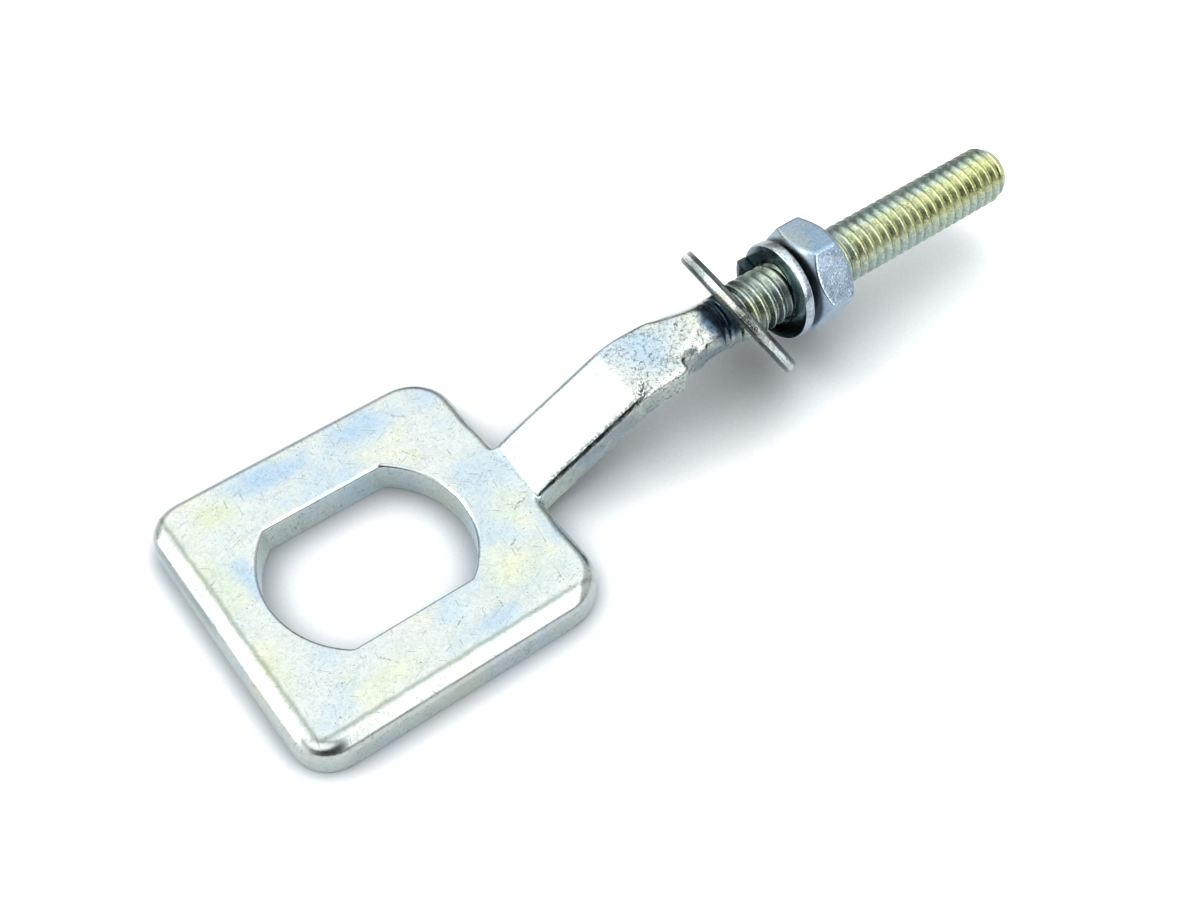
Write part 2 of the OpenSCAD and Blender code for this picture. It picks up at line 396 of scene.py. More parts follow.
def rib_coil():
    """The open coil of thread ribs, past the thread at both ends."""
    turns = math.ceil((TIP_X - THREAD_START) / THREAD_PITCH) + TURNS_MORE
    first_turn = math.floor((THREAD_START - THREAD_X) / THREAD_PITCH) - TURNS_BEFORE
    start = THREAD_X + first_turn * THREAD_PITCH
    root_r = CREST_R - THREAD_DEPTH
    obj = drawn_line([(start + a * THREAD_PITCH, 0, root_r + d * THREAD_DEPTH) for a, d in RIB])
    modify(
        obj, "SCREW", axis="X", angle=math.tau, screw_offset=THREAD_PITCH * MM, iterations=turns,
        steps=THREAD_STEPS, render_steps=THREAD_STEPS, use_smooth_shade=True,
    )
    edit(obj)
    bpy.ops.mesh.remove_doubles(threshold=MERGE_GAP)
    done()
    return obj


def trim_ends(obj, first_x, last_x):
    """Cuts the coil off square at both ends and caps it."""
    for x, far_side in ((first_x, False), (last_x, True)):
        edit(obj)
        cut_at(x, far_side)
        done()
    close_up(obj)


def crest_wear(place):
    """How far a crest is flattened or nicked at a place."""
    at = Vector((place.x * WEAR_ALONG, place.y * WEAR_ACROSS, place.z * WEAR_ACROSS))
    return WEAR_DEPTH * smoothstep(*WEAR_LEVEL, noise.noise(at))


def run_out(place, normal):
    """Sinks the first turns into the neck, bevels the tip and wears the crests."""
    across = across_stud(place)
    tip_r = TIP_R + (TIP_X - place.x) / TIP_L * (CREST_R - TIP_R)
    grown = smoothstep(THREAD_X - RUN_IN, THREAD_X + RUN_OUT, place.x)
    wanted = NECK_R - UNDER_NECK + (across.length - NECK_R) * grown
    wanted = min(wanted, tip_r) - crest_wear(place) * grown
    return across.normalized() * (wanted - across.length)


def thread():
    """The stud's thread, from inside the neck to the tip."""
    obj = rib_coil()
    move_vertices(obj, run_out)
    settle(obj, "stud_thread")
    trim_ends(obj, THREAD_START, TIP_X)
    return obj


# The flat washer, punched: round at one edge, sheared and streaky along the rim

WASHER_STEPS = 220
# The round on one side, its arc in degrees with its steps, and the burr on the other side
WASHER_ROLL = 0.45
WASHER_ROLL_ARC = (165, 100, 5)
WASHER_BURR = 0.12
# How far the rim draws in at the burr
WASHER_DRAW = 0.12
# The sheared band inside the rim, its depth all over, and the depth and closeness of streaks and dips
SHEAR_BAND = (0.5, 0.1)
SHEAR_DEPTH = 0.02
SHEAR_STREAKS = (0.02, 16)
SHEAR_DIPS = (0.03, 3)


def sheared(place, normal):
    """Streaks and dips along the washer's rim."""
    across = across_stud(place)
    rim = smoothstep(WASHER_R - SHEAR_BAND[0], WASHER_R - SHEAR_BAND[1], across.length)
    angle = math.atan2(place.z, place.y)
    streak_depth, streaks = SHEAR_STREAKS
    dip_depth, dips = SHEAR_DIPS
    streak = noise.noise(Vector((math.cos(angle), math.sin(angle), 0)) * streaks)
    dip = noise.noise(Vector((math.cos(angle), math.sin(angle), place.x)) * dips)
    depth = SHEAR_DEPTH + streak_depth * streak + dip_depth * max(0.0, dip)
    return -across.normalized() * rim * depth


def flat_washer():
    """The flat washer, leaning on the thread."""
    half = WASHER_T / 2
    outline = [
        (-half, WASHER_HOLE_R + WASHER_ROLL),
        (-half, WASHER_R - WASHER_ROLL - 0.1),
        *arc_points(-half + WASHER_ROLL, WASHER_R - WASHER_ROLL - 0.06, WASHER_ROLL, *WASHER_ROLL_ARC),
        (-0.1, WASHER_R),
        (0.3, WASHER_R - 0.03),
        (half - WASHER_BURR, WASHER_R - WASHER_DRAW),
        (half, WASHER_R - WASHER_DRAW - WASHER_BURR),
        (half, WASHER_HOLE_R + WASHER_BURR),
        (half - WASHER_BURR, WASHER_HOLE_R),
        (-half + WASHER_ROLL, WASHER_HOLE_R),
    ]
    obj = turned(outline, WASHER_STEPS)
    move_vertices(obj, sheared)
    bpy.ops.object.shade_smooth_by_angle(angle=math.radians(35))
    obj.rotation_euler = WASHER_TURN
    obj.location = Vector((WASHER_X, 0, STUD_H)) * MM
    return settle(obj, "punched_washer")


# The spring washer: one cut turn of square wire

SPRING_STEPS = 120
SPRING_CORNER = 0.22


def spring_washer():
    """The spring washer, its cut closed to a line."""
    first = math.radians(SPLIT_AT + SPLIT_ANGLE / 2)
    sweep = math.radians(360 - SPLIT_ANGLE)
    far_x = NUT_X - SEAT_GAP - SPRING_CORNER
    near_x = NUT_X - SEAT_GAP - SPRING_T + SPRING_CORNER
    outer_r = SPRING_R - SPRING_CORNER
    inner_r = SPRING_HOLE_R + SPRING_CORNER
    section = []
    for i, (x, r) in enumerate(((far_x, outer_r), (near_x, outer_r), (near_x, inner_r), (far_x, inner_r))):
        section += arc_points(x, r, SPRING_CORNER, i * 90, i * 90 + 90, 3)
    points = [(x, r * math.cos(first), r * math.sin(first)) for x, r in section]
    obj = drawn_line(points, closed=True)
    modify(
        obj, "SCREW", axis="X", angle=sweep, screw_offset=-SPRING_RISE * MM,
        steps=SPRING_STEPS, render_steps=SPRING_STEPS,
    )
    close_up(obj)
    bpy.ops.object.shade_smooth_by_angle(angle=math.radians(40))
    return settle(obj, "split_washer")


# The nut

NUT_STEPS = 144
BORE_STEPS = 96
NUT_VOXEL = 0.13
# How far the shapes that cut it reach past the nut, and how near its axis they come
BLANK_PAST = 0.01
CUT_PAST = 1.0
NEAR_AXIS_R = 0.02


def nut_blank(corner_r):
    """The round shape that the hexagon is cut from, with its chamfers."""
    face_r = NUT_AF / 2 - NUT_FACE_IN
    far_face_r = NUT_AF / 2 - NUT_FAR_FACE_IN
    outer_r = corner_r + CUT_PAST
    slope = math.tan(math.radians(NUT_CHAMFER))
    far_x = NUT_X + NUT_H
    return turned([
        (NUT_X - BLANK_PAST, NEAR_AXIS_R), (NUT_X - BLANK_PAST, face_r),
        (NUT_X + (outer_r - face_r) * slope, outer_r),
        (far_x - (outer_r - far_face_r) * slope, outer_r),
        (far_x + BLANK_PAST, far_face_r), (far_x + BLANK_PAST, NEAR_AXIS_R),
    ], NUT_STEPS)


def nut_bore():
    """The nut's bore, sunk at both ends."""
    far_x = NUT_X + NUT_H
    wide_r = NUT_BORE_R + CUT_PAST + NUT_SINK
    return turned([
        (NUT_X - CUT_PAST, NEAR_AXIS_R), (NUT_X - CUT_PAST, wide_r), (NUT_X + NUT_SINK, NUT_BORE_R),
        (far_x - NUT_SINK, NUT_BORE_R), (far_x + CUT_PAST, wide_r), (far_x + CUT_PAST, NEAR_AXIS_R),
    ], BORE_STEPS)


def nut():
    """The hexagon nut, chamfered and bored."""
    corner_r = NUT_AF / math.sqrt(3)
    middle = (NUT_X + NUT_H / 2) * MM
    about_stud = Matrix.Rotation(math.radians(NUT_TURN), 3, "X")
    along_stud = Matrix.Rotation(math.pi / 2, 3, "Y")
    bpy.ops.mesh.primitive_cylinder_add(
        vertices=6, radius=corner_r * MM, depth=NUT_H * MM, location=(middle, 0, STUD_H * MM),
        rotation=(about_stud @ along_stud).to_euler(),
    )
    obj = bpy.context.object
    for cutter, operation in ((nut_blank(corner_r), "INTERSECT"), (nut_bore(), "DIFFERENCE")):
        modify(obj, "BOOLEAN", operation=operation, object=cutter, solver="EXACT")
        bpy.data.objects.remove(cutter)
    modify(obj, "REMESH", mode="VOXEL", voxel_size=NUT_VOXEL * MM, use_smooth_shade=True)
    modify(obj, "SMOOTH", factor=SMOOTH_FACTOR, iterations=5)
    return settle(obj, "hexagon_nut")


# Shader building

def put(tree, kind, inputs=None, **values):
    """Adds a shader node of a kind, sets its values, and links or sets its inputs."""
    made = tree.nodes.new("ShaderNode" + kind)
    for key, value in values.items():
        setattr(made, key, value)
    for key, value in (inputs or {}).items():
        if isinstance(value, bpy.types.NodeSocket):
            tree.links.new(value, made.inputs[key])
        else:
            made.inputs[key].default_value = value
    return made


def math_node(tree, operation, a, b=None, c=None, clamp=False):
    """The result of arithmetic on up to three numbers."""
    inputs = {i: value for i, value in enumerate((a, b, c)) if value is not None}
    return put(tree, "Math", inputs, operation=operation, use_clamp=clamp).outputs[0]


def times(tree, a, b):
    return math_node(tree, "MULTIPLY", a, b)


def vector_math(tree, operation, a, b=None, scale=None):
    """The result of vector arithmetic: a number for a dot product or a length, or else a vector."""
    given = {0: a, 1: b, "Scale": scale}
    inputs = {key: value for key, value in given.items() if value is not None}
    found = put(tree, "VectorMath", inputs, operation=operation)
    return found.outputs["Value" if operation in ("DOT_PRODUCT", "LENGTH") else "Vector"]


def split_place(tree, place):
    """The x, y and z of a place."""
    return put(tree, "SeparateXYZ", {0: place}).outputs


def noise_value(tree, place, scale, detail, roughness=0.5, distortion=0.0):
    """A noise at a place, with as many features a metre as its scale."""
    found = put(tree, "TexNoise", {
        "Vector": place, "Scale": scale, "Detail": detail, "Roughness": roughness,
        "Distortion": distortion})
    return found.outputs[0]


def ramp_between(tree, value, low, high, to_low=0.0, to_high=1.0):
    """Turns low into to_low and high into to_high, with soft ends."""
    found = put(
        tree, "MapRange",
        {0: value, 1: low, 2: high, 3: to_low, 4: to_high}, interpolation_type="SMOOTHSTEP",
    )
    return found.outputs[0]


def wandering(tree, value, ragged, reach):
    """A value moved to and fro by a noise, over a reach."""
    return math_node(tree, "MULTIPLY_ADD", ragged, reach, math_node(tree, "SUBTRACT", value, reach / 2))


def mix_colour(tree, share, a, b):
    """Colour a, turned into b by a share."""
    found = put(tree, "Mix", data_type="RGBA")
    for socket, value in ((found.inputs[0], share), (found.inputs[6], a), (found.inputs[7], b)):
        if isinstance(value, bpy.types.NodeSocket):
            tree.links.new(value, socket)
        else:
            socket.default_value = value
    return found.outputs[2]


def lay(tree, base, tint, mask, strength):
    """Lays a tint over the base where a mask is, at this strength."""
    return mix_colour(tree, times(tree, mask, strength), base, tint)


def colour(red, green, blue):
    """A colour from its 0 to 255 values as seen on a screen."""
    linear = []
    for part in (red, green, blue):
        share = part / 255
        linear.append(share / 12.92 if share <= 0.04045 else ((share + 0.055) / 1.055) ** 2.4)
    return (*linear, 1.0)


FLOAT = "NodeSocketFloat"
VECTOR = "NodeSocketVector"
COLOUR = "NodeSocketColor"


def new_group(name, inputs=(), outputs=(("Mask", FLOAT),)):
    """A node group that is given a place and these inputs, with what it is given and what it gives."""
    group = bpy.data.node_groups.new(name, "ShaderNodeTree")
    for socket, kind, value in (("Position", VECTOR, None), *inputs):
        made = group.interface.new_socket(name=socket, in_out="INPUT", socket_type=kind)
        if value is not None:
            made.default_value = value
    for socket, kind in outputs:
        group.interface.new_socket(name=socket, in_out="OUTPUT", socket_type=kind)
    given = group.nodes.new("NodeGroupInput").outputs
    wanted = group.nodes.new("NodeGroupOutput").inputs
    return group, given, wanted


# How far a patch's outline wanders, as a share of its reach; patches are plating tints and painted shade
PATCH_WANDER = 0.9

# The noise level at which a speck shows, how much a drift and the amount lower it, and its soft edge
SPECK_LEVEL = 0.775
SPECK_DRIFT = 0.2
SPECK_AMOUNT = 0.06
SPECK_EDGE = 0.05

# Scratches: each set's turn and place in the noise, then the tilt, size and noise level of all
SCRATCH_SETS = ((0.4, 0.1), (1.5, 0.3), (2.5, 0.7))
SCRATCH_TILT = (0.3, 0.2)
SCRATCH_SIZE = (1 / 330, 1 / 3600, 1 / 900)
SCRATCH_LEVEL = (0.70, 0.75)

# The noise level at which a tint of the plating shows, and where the warm tint's noise is read
TINT_LEVEL = (0.45, 0.68)
WARM_TINT_AT = (3.1, 1.7, 0.4)

# Shares of the coarse noise and the haze in the mottles, and the noise levels of mottles and haze
COARSE_SHARE = 0.65
HAZE_SHARE = 0.35
MOTTLE_LEVEL = (0.36, 0.64)
HAZE_LEVEL = (0.3, 0.7)

# A line's width where its noise is low and high
LINE_WIDTHS = (0.05, 1.4)
LINE_LEVEL = (0.38, 0.62)

# How near to its middle the noise makes a pit, and where the pits break off
PIT_WIDTH = (0.06, 0.01)
PIT_BREAK_LEVEL = (0.46, 0.54)


def patch_group():
    """A soft-edged patch round a place, with a ragged outline."""
    group, given, wanted = new_group("patch", (
        ("Middle", VECTOR, None), ("Stretch", VECTOR, (1, 1, 1)), ("Softness", FLOAT, 0.5)))
    place, middle, stretch, softness = given[:4]
    ragged = noise_value(group, place, scale=380.0, detail=7.0, roughness=0.6)
    away = vector_math(group, "SUBTRACT", place, middle)
    length = vector_math(group, "LENGTH", vector_math(group, "DIVIDE", away, stretch))
    rough = wandering(group, length, ragged, PATCH_WANDER)
    inner = math_node(group, "SUBTRACT", 1.0, softness)
    group.links.new(ramp_between(group, rough, inner, 1.0, 1.0, 0.0), wanted[0])
    return group


def speck_group():
    """Fine dark specks, closer together in some places."""
    group, given, wanted = new_group("specks", (("Amount", FLOAT, 0.5),))
    place, amount = given[:2]
    fine = noise_value(group, place, scale=4200.0, detail=3.0, roughness=0.7)
    broad = noise_value(group, place, scale=260.0, detail=2.0)
    level = math_node(group, "MULTIPLY_ADD", broad, -SPECK_DRIFT, SPECK_LEVEL)
    level = math_node(group, "MULTIPLY_ADD", amount, -SPECK_AMOUNT, level)
    top = math_node(group, "ADD", level, SPECK_EDGE)
    group.links.new(ramp_between(group, fine, level, top), wanted[0])
    return group


def scratch_group():
    """Short thin scratches, in several directions."""
    group, given, wanted = new_group("scratches", (("Amount", FLOAT, 0.5),))
    place, amount = given[:2]
    total = 0.0
    for turn, at in SCRATCH_SETS:
        turned_place = put(
            group, "Mapping",
            {"Vector": place, "Rotation": (*SCRATCH_TILT, turn), "Location": (at, at, 0.0),
             "Scale": SCRATCH_SIZE}, vector_type="TEXTURE",
        ).outputs[0]
        lines = noise_value(group, turned_place, scale=1.0, detail=1.0)
        total = math_node(group, "ADD", ramp_between(group, lines, *SCRATCH_LEVEL), total)
    group.links.new(math_node(group, "MULTIPLY", total, amount, clamp=True), wanted[0])
    return group


def tint_group():
    """The plating's own colour, drifting between three tints."""
    group, given, wanted = new_group(
        "plating_tint",
        (("Plain", COLOUR, None), ("Cool", COLOUR, None), ("Warm", COLOUR, None), ("Scale", FLOAT, 110.0)),
        (("Color", COLOUR),),
    )
    place, plain, cool, warm, scale = given[:5]
    moved = put(group, "Mapping", {"Vector": place, "Location": WARM_TINT_AT}).outputs[0]
    mixed = plain
    for at, tint in ((place, cool), (moved, warm)):
        drift = noise_value(group, at, scale=scale, detail=4.0, roughness=0.55)
        mixed = mix_colour(group, ramp_between(group, drift, *TINT_LEVEL), mixed, tint)
    group.links.new(mixed, wanted[0])
    return group


def line_group():
    """A thin ragged line from a start along a run."""
    group, given, wanted = new_group("line_mark", (
        ("Start", VECTOR, None), ("Run", VECTOR, (1, 0, 0)), ("Width", FLOAT, 0.0002)))
    place, start, run, width = given[:4]
    ragged = noise_value(group, place, scale=3000.0, detail=2.0)
    away = vector_math(group, "SUBTRACT", place, start)
    along = vector_math(group, "DOT_PRODUCT", away, run)
    whole = vector_math(group, "DOT_PRODUCT", run, run)
    share = math_node(group, "DIVIDE", along, whole, clamp=True)
    nearest = vector_math(group, "SCALE", run, scale=share)
    length = vector_math(group, "LENGTH", vector_math(group, "SUBTRACT", away, nearest))
    reach = times(group, width, ramp_between(group, ragged, *LINE_LEVEL, *LINE_WIDTHS))
    mask = put(group, "MapRange", {0: length, 1: reach, 2: 0.0, 3: 0.0, 4: 1.0})
    group.links.new(mask.outputs[0], wanted[0])
    return group


def pit_group():
    """Short wriggling dark pits, as on plate that was struck and then dipped."""
    group, given, wanted = new_group("struck_pits")
    place = given[0]
    twisted = noise_value(group, place, scale=1500.0, detail=2.0, roughness=0.6, distortion=1.6)
    off = math_node(group, "ABSOLUTE", math_node(group, "SUBTRACT", twisted, 0.5))
    breaks = noise_value(group, place, scale=1900.0, detail=1.0)
    kept = ramp_between(group, breaks, *PIT_BREAK_LEVEL)
    group.links.new(times(group, ramp_between(group, off, *PIT_WIDTH), kept), wanted[0])
    return group


def grain_group():
    """The plate's crystalline grain: light and dark mottles, haze, and a height for bump."""
    group, given, wanted = new_group(
        "plating_grain", outputs=(("Mottle", FLOAT), ("Haze", FLOAT), ("Height", FLOAT)))
    place = given[0]
    coarse = noise_value(group, place, scale=2600.0, detail=3.0, roughness=0.65)
    haze = noise_value(group, place, scale=420.0, detail=4.0)
    both = math_node(group, "MULTIPLY_ADD", haze, HAZE_SHARE, times(group, coarse, COARSE_SHARE))
    group.links.new(ramp_between(group, both, *MOTTLE_LEVEL), wanted[0])
    group.links.new(ramp_between(group, haze, *HAZE_LEVEL), wanted[1])
    group.links.new(coarse, wanted[2])
    return group


STAIN_AND_SHADE_PATCH = patch_group()
SPECKS = speck_group()
SCRATCHES = scratch_group()
TINT = tint_group()
GRAIN = grain_group()
LINE = line_group()
PITS = pit_group()

# Plain, cool and warm tints of each piece's zinc plating
FORGING_TINTS = (colour(183, 190, 187), colour(166, 182, 190), colour(188, 193, 180))
THREAD_TINTS = (colour(170, 181, 174), colour(150, 172, 174), colour(182, 190, 156))
WASHER_TINTS = (colour(204, 212, 210), colour(170, 190, 194), colour(192, 198, 182))
SPRING_TINTS = (colour(166, 178, 188), colour(140, 162, 182), colour(166, 174, 174))
NUT_TINTS = (colour(146, 168, 186), colour(128, 160, 188), colour(160, 174, 178))
# Colours of the marks on it, the plating's own tints and painted light and shade among them
BLUE = colour(140, 168, 192)
STRAW = colour(182, 190, 154)
# Painted shade over the neck and the thread's start
NECK_SHADE_BLUE = colour(72, 100, 124)
SPECK_DARK = colour(66, 76, 74)
# Also the painted dark reflection on the arm's near top edge
PIT_AND_SHADE_DARK = colour(52, 62, 66)
# Painted shade on side faces
SIDE_SHADE_GREY = colour(122, 134, 142)
# Painted light on the nut's near facet: glints, a lighter tint and dark grains
PAINTED_GLINT = colour(222, 236, 252)
NEAR_FACET_LIT_BLUE = colour(188, 211, 232)
GLINT_GRAIN_DARK = colour(92, 112, 136)
# The thread's straw tint, in part a painted highlight; painted shade in its roots and on its top; painted
# reflection on its low side
TIP_STRAW_AND_HIGHLIGHT = colour(200, 206, 142)
ROOT_SHADE_DARK = colour(78, 92, 90)
TOP_SHADE_GREY = colour(92, 110, 106)
LOW_REFLECTION_GREY = colour(150, 170, 172)
# Painted shade inside the plate's pressed edge
SHADE_LINE_GREY = colour(118, 130, 118)
# Painted shade on the washers and the nut, and the flat washer's dark streaks
SHADE_AND_STREAK_DARK = colour(34, 42, 44)
# Painted shade on the spring washer's faces
FACE_SHADE_DARK = colour(100, 126, 130)

# Stains on the forging, and painted shade on its side faces in the grey rows: middle, reach along each
# axis, softness, tint and strength
FORGING_STAINS_AND_SHADE = (
    ((-3.5, 16.8, 4.5), (7.5, 3.0, 3.0), 0.8, BLUE, 0.7),
    ((8.5, 16.6, 4.5), (8.5, 3.6, 3.0), 0.9, BLUE, 0.6),
    ((11.8, 15.1, 4.5), (1.8, 1.5, 3.0), 1.0, BLUE, 0.35),
    ((-12.9, 4.0, 4.5), (1.7, 9.0, 3.0), 1.0, BLUE, 0.6),
    ((-11.0, -8.5, 4.5), (3.2, 4.0, 3.0), 1.0, BLUE, 0.35),
    ((7.7, -16.1, 4.5), (4.6, 1.7, 3.0), 0.8, BLUE, 0.45),
    ((19.4, -9.0, 4.5), (1.8, 5.5, 3.0), 1.0, BLUE, 0.5),
    ((18.6, 16.5, 4.5), (4.0, 4.0, 3.0), 1.0, BLUE, 0.45),
    ((0.0, 20.0, 3.2), (22.0, 1.6, 3.0), 0.8, BLUE, 0.6),
    ((-11.8, 15.3, 4.5), (4.0, 3.2, 3.0), 1.0, STRAW, 0.6),
    ((-16.1, 7.1, 4.5), (3.6, 9.0, 3.0), 1.0, STRAW, 0.4),
    ((17.0, -4.6, 4.5), (3.4, 4.2, 3.0), 1.0, STRAW, 0.4),
    ((13.0, -12.0, 4.5), (8.0, 6.0, 3.0), 1.0, STRAW, 0.32),
    ((12.2, 9.2, 4.5), (0.9, 1.8, 3.0), 1.0, STRAW, 0.45),
    ((-17.0, -7.5, 4.5), (3.4, 7.0, 3.0), 1.0, STRAW, 0.4),
    ((-6.0, -15.5, 4.5), (8.0, 3.0, 3.0), 1.0, STRAW, 0.3),
    ((41.0, 0.0, 12.4), (4.5, 5.0, 2.0), 0.8, BLUE, 0.45),
    # Painted shade: the grey rows darken the arm's near side, the neck's near side and the plate's left
    # side
    ((33.0, -5.9, 6.5), (15.0, 1.1, 9.0), 0.5, SIDE_SHADE_GREY, 0.75),
    ((49.0, -4.2, 9.4), (6.0, 1.9, 5.0), 0.6, SIDE_SHADE_GREY, 0.85),
    ((-19.2, 8.0, 3.6), (1.7, 13.0, 3.0), 0.7, SIDE_SHADE_GREY, 0.6),
)
# Painted shade: the dark patch over the neck, which runs under the loose washer; the thread's start is
# darkened by it too
NECK_PAINTED_SHADE = ((51.2, -2.4, 14.6), (3.5, 5.8, 4.1), 0.35, NECK_SHADE_BLUE, 0.9)


def group_node(tree, group, place, **values):
    """What a group gives at a place, with each named input linked or set."""
    return put(tree, "Group", {"Position": place, **values}, node_tree=group).outputs


def stained_and_shaded(tree, place, base, stains_and_shade):
    """Lays each patch, a tint of the plating or painted shade, over the base colour."""
    for middle, reach, softness, tint, strength in stains_and_shade:
        patch = group_node(
            tree, STAIN_AND_SHADE_PATCH, place, Middle=Vector(middle) * MM, Stretch=Vector(reach) * MM, Softness=softness)
        base = lay(tree, base, tint, patch[0], strength)
    return base


def along_axis(tree, place, middle, axis):
    """How far a place lies along an axis from a middle, in millimetres."""
    away = vector_math(tree, "SUBTRACT", place, Vector(middle) * MM)
    return times(tree, vector_math(tree, "DOT_PRODUCT", away, axis), 1 / MM)


def from_axis(tree, place, middle, axis):
    """How far a place lies from an axis through a middle, in millimetres."""
    away = vector_math(tree, "SUBTRACT", place, Vector(middle) * MM)
    along = vector_math(tree, "DOT_PRODUCT", away, axis)
    across = vector_math(tree, "SUBTRACT", away, vector_math(tree, "SCALE", axis, scale=along))
    return times(tree, vector_math(tree, "LENGTH", across), 1 / MM)


# How strongly specks and scratches darken, how deep they cut into the grain, and the grain's depth
MARK_STRENGTH = 0.8
MARK_CUT = 0.6
GRAIN_DEPTH = 0.06


def zinc(name, plain, cool, warm, stains_and_shade=(), rough=(0.24, 0.4), grain=0.5, specks=0.9,
         scratches=0.5, tint_scale=110.0, mottle=0.2, shade=None):
    """Bright zinc plate: drifting tints, patches of tint and of painted shade, specks, scratches and a
    fine grain. shade(tree, place, base) lays the piece's own marks, and painted light and shade, over the
    tints."""
    material = bpy.data.materials.new(name)
    material.use_nodes = True
    tree = material.node_tree
    shader = tree.nodes["Principled BSDF"]
    place = put(tree, "TexCoord").outputs["Object"]
    tint = group_node(tree, TINT, place, Plain=plain, Cool=cool, Warm=warm, Scale=tint_scale)
    base = stained_and_shaded(tree, place, tint[0], stains_and_shade)
    crystals = group_node(tree, GRAIN, place)
    if shade:
        base = shade(tree, place, base)
    light = ramp_between(tree, crystals["Mottle"], 0.0, 1.0, 1 - mottle, 1 + mottle)
    base = vector_math(tree, "SCALE", base, scale=light)
    speck = group_node(tree, SPECKS, place, Amount=specks)
    scratch = group_node(tree, SCRATCHES, place, Amount=scratches)
    marks = math_node(tree, "MAXIMUM", speck[0], scratch[0])
    base = lay(tree, base, SPECK_DARK, marks, MARK_STRENGTH)
    tree.links.new(base, shader.inputs["Base Color"])
    shader.inputs["Metallic"].default_value = 1.0
    smooth, dull = rough
    roughness = math_node(tree, "MULTIPLY_ADD", crystals["Haze"], dull - smooth, smooth)
    tree.links.new(roughness, shader.inputs["Roughness"])
    height = math_node(tree, "MULTIPLY_ADD", marks, -MARK_CUT, crystals["Height"])
    bump = put(tree, "Bump", {"Height": height, "Strength": grain, "Distance": GRAIN_DEPTH * MM})
    tree.links.new(bump.outputs[0], shader.inputs["Normal"])
    return material


# A painted shade line where the pressed edge runs out: how far inside the outline it lies, its half width,
# the round of its corner, how far it wanders, where it ends beside the arm, and its strength
SHADE_LINE_IN = 2.3
SHADE_LINE_REACH = 0.5
SHADE_LINE_CORNER = 2.0
SHADE_LINE_WANDER = 0.6
SHADE_LINE_END_X = (20.5, 18.0)
SHADE_LINE_STRENGTH = 0.65


def shade_line(tree, place):
    """A mask for a painted shade line along the near and left sides of the plate, just inside the pressed
    edge.
    """
    split = split_place(tree, place)
    near_y = -(PLATE_HALF_Y - SHADE_LINE_IN) * MM
    left_x = (PLATE_MIDDLE_X - PLATE_HALF_X + SHADE_LINE_IN) * MM
    from_near = math_node(tree, "SUBTRACT", split[1], near_y)
    from_left = math_node(tree, "SUBTRACT", split[0], left_x)
    inside = math_node(tree, "SMOOTH_MIN", from_near, from_left, SHADE_LINE_CORNER * MM)
    ragged = noise_value(tree, place, scale=500.0, detail=3.0)
    moved = wandering(tree, inside, ragged, SHADE_LINE_WANDER * MM)
    line = ramp_between(tree, math_node(tree, "ABSOLUTE", moved), SHADE_LINE_REACH * MM, 0.0)
    return times(tree, line, ramp_between(tree, split[0], *(x * MM for x in SHADE_LINE_END_X)))


# Marks on the forging, the last of them a painted dark reflection: start, end, width and strength
FORGING_MARKS = (
    ((17.8, -4.6, 4.5), (19.7, -4.3, 4.5), 0.17, 0.85),
    ((17.2, -5.2, 4.5), (17.9, -4.6, 4.5), 0.15, 0.7),
    ((14.0, -9.1, 4.5), (15.8, -8.3, 4.5), 0.14, 0.75),
    ((8.7, -14.0, 4.5), (8.6, -15.3, 4.5), 0.14, 0.75),
    ((-6.3, -12.8, 4.5), (-5.0, -14.6, 4.5), 0.13, 0.65),
    ((3.0, -14.5, 4.5), (4.1, -13.9, 4.5), 0.13, 0.65),
    ((11.3, 10.4, 4.5), (12.8, 7.8, 4.5), 0.15, 0.5),
    ((20.2, 3.4, 4.3), (20.8, -5.0, 4.4), 0.34, 0.5),
    ((37.7, -3.1, 12.2), (36.2, -4.7, 11.6), 0.34, 1.0),
    ((36.1, -3.7, 11.5), (36.6, -4.5, 11.6), 0.28, 0.95),
    ((36.9, -3.3, 11.8), (36.4, -3.9, 11.6), 0.2, 0.9),
    ((30.3, 3.4, 8.8), (30.6, 3.1, 8.9), 0.4, 0.6),
    ((30.5, 1.1, 8.9), (30.8, 0.9, 9.0), 0.32, 0.6),
    ((29.3, 4.4, 8.3), (32.0, 4.4, 9.5), 0.4, 0.6),
    # Painted dark reflection along the arm's rough near top edge
    ((23.0, -4.75, 5.4), (37.4, -4.75, 12.1), 0.8, 0.75),
)


# Pits on the forging: their strength all over, and how much more there is on the arm's level end
PITS_ALL_OVER = 0.14
PITS_LEVEL_END = 0.7
LEVEL_END_X = (33.5, 38.5)


def forging_shade(tree, place, base):
    """Pits on the level end of the arm, a painted shade line inside the pressed edge, and single marks and
    scratches, the last a painted dark reflection along the arm's near top edge.
    """
    level_end = ramp_between(tree, split_place(tree, place)[0], *(x * MM for x in LEVEL_END_X))
    amount = math_node(tree, "MULTIPLY_ADD", level_end, PITS_LEVEL_END, PITS_ALL_OVER)
    base = lay(tree, base, PIT_AND_SHADE_DARK, group_node(tree, PITS, place)[0], amount)
    # Painted shade line inside the plate's pressed edge
    base = lay(tree, base, SHADE_LINE_GREY, shade_line(tree, place), SHADE_LINE_STRENGTH)
    for start, end, width, strength in FORGING_MARKS:
        run = Vector(end) - Vector(start)
        mark = group_node(
            tree, LINE, place, Start=Vector(start) * MM, Run=run * MM, Width=width * MM)
        base = lay(tree, base, PIT_AND_SHADE_DARK, mark[0], strength)
    return base


ALONG_STUD = (1, 0, 0)

